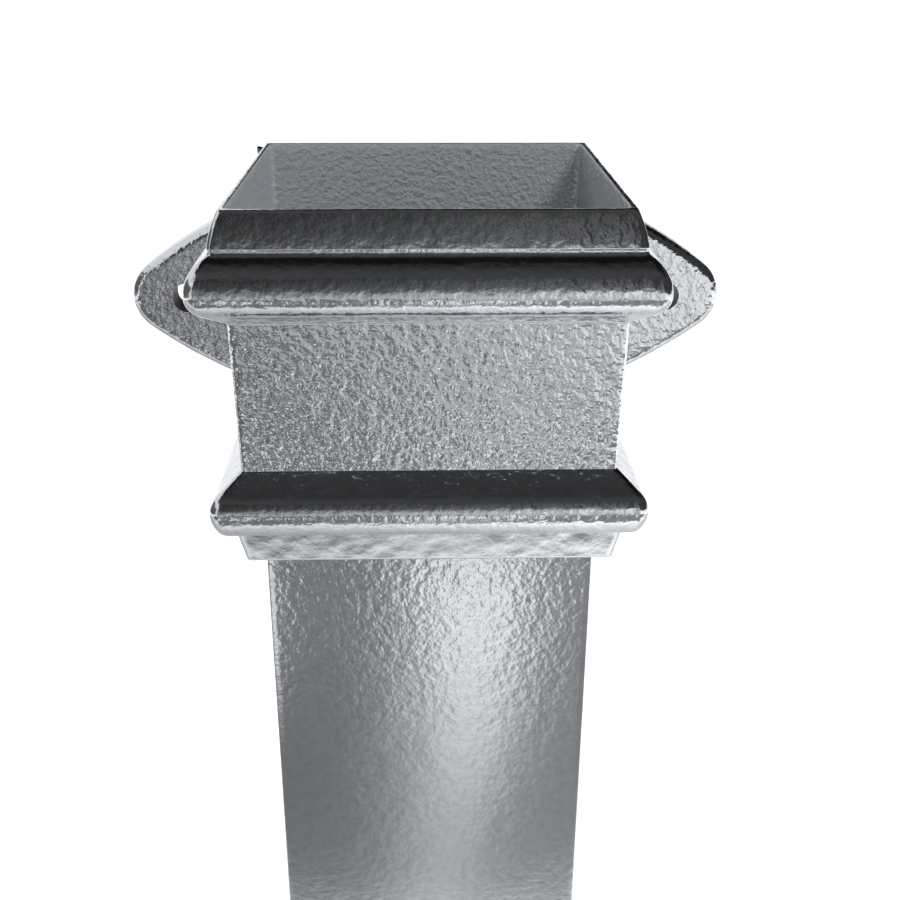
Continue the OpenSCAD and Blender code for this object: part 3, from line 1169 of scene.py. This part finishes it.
# The mat's nearest strip, by the place across and the distance ahead, and where it ends
MAT_NEAR_ACROSS = ((-0.14, 1.15), (-0.08, 1.2), (0.0, 1.3), (0.12, 1.75))
MAT_NEAR_ALONG = ((0.25, 0.5), (0.42, 0.64), (0.56, 0.82), (0.62, 1.0))
MAT_NEAR_END = ((0.655, 0.0), (0.75, 1.0))

# Its farthest strip, whose rows slant to one side, and where it starts
MAT_FAR_SLANT = 2.0
MAT_FAR_ACROSS = ((-0.3, 0.65), (-0.20, 0.90), (-0.1, 1.0), (0.0, 1.0), (0.15, 1.04), (0.3, 1.9))
MAT_FAR_ALONG = (
    (1.42, 0.16), (1.54, 0.18), (1.72, 0.26), (1.88, 0.52), (2.1, 0.70), (2.6, 0.69), (3.2, 0.63)
)
MAT_FAR_START = ((1.49, 0.0), (1.56, 1.0))

# A bright patch on its left
PATCH_ACROSS = ((-0.36, 0.0), (-0.32, 1.0), (-0.185, 1.0), (-0.155, 0.0))
PATCH_ALONG = ((0.98, 0.0), (1.08, 1.2), (1.42, 1.2), (1.46, 0.0))


def hang_mouth_lamp(studio):
    """A soft lamp over the mouth that lights its dull inside and leaves no glint on the metal."""
    data = bpy.data.lights.new("mouth_lamp", "AREA")
    data.shape = "DISK"
    data.size = LAMP_WIDTH
    data.energy = studio.mouth_lamp
    lamp = bpy.data.objects.new("mouth_lamp", data)
    bpy.context.scene.collection.objects.link(lamp)
    lamp.location = LAMP_PLACE
    lamp.rotation_euler = (-lamp.location).to_track_quat("-Z", "Y").to_euler()
    lamp.visible_glossy = False


LAMP_WIDTH = 0.6
LAMP_PLACE = (0.9, -0.9, 1.6)


def place_camera():
    """The photograph's view: a little above the rim, looking down at the socket's front."""
    data = bpy.data.cameras.new("camera")
    data.sensor_width = SENSOR_MM
    data.lens = CAMERA_FOCAL_PX / FRAME_PX * data.sensor_width
    data.clip_start = NEAREST_SEEN
    camera = bpy.data.objects.new("camera", data)
    bpy.context.scene.collection.objects.link(camera)
    yaw = Matrix.Rotation(math.radians(CAMERA_YAW), 4, "Z")
    pitch = Matrix.Rotation(math.radians(90 - CAMERA_PITCH), 4, "X")
    roll = Matrix.Rotation(math.radians(CAMERA_ROLL), 4, "Z")
    camera.matrix_world = Matrix.Translation(CAMERA_PLACE) @ yaw @ pitch @ roll
    bpy.context.scene.camera = camera


# The photograph's camera: place in metres, angles in degrees, focal length in pixels
CAMERA_PLACE = (-0.0017, -0.3216, 0.0897)
CAMERA_YAW = -1.48
CAMERA_PITCH = 23.30
CAMERA_ROLL = 0.17
CAMERA_FOCAL_PX = 1186.7
FRAME_PX = 900
SENSOR_MM = 36
NEAREST_SEEN = 0.01


class DOWNPIPE_PT_panel(bpy.types.Panel):
    bl_idname = "DOWNPIPE_PT_panel"
    bl_label = "Square Downpipe"
    bl_space_type = "VIEW_3D"
    bl_region_type = "UI"
    bl_category = "Downpipe"

    def draw(self, context):
        for operator in STEPS:
            self.layout.operator(operator.bl_idname)


STEPS = (DOWNPIPE_OT_casting, DOWNPIPE_OT_stage)
GROUPS = (
    PipeSizes,
    SocketSizes,
    UpperMouldingSizes,
    LowerMouldingSizes,
    EarSizes,
    SpurSizes,
    MeshDensity,
    CastingFinish,
    StudioSettings,
    DownpipeSettings,
)


def register():
    for kind in (*GROUPS, *STEPS, DOWNPIPE_PT_panel):
        bpy.utils.register_class(kind)
    bpy.types.Scene.downpipe = bpy.props.PointerProperty(type=DownpipeSettings)


def unregister():
    del bpy.types.Scene.downpipe
    for kind in (DOWNPIPE_PT_panel, *STEPS[::-1], *GROUPS[::-1]):
        bpy.utils.unregister_class(kind)


def main():
    register()
    bpy.ops.downpipe.casting()
    bpy.ops.downpipe.stage()


if __name__ == "__main__":
    main()
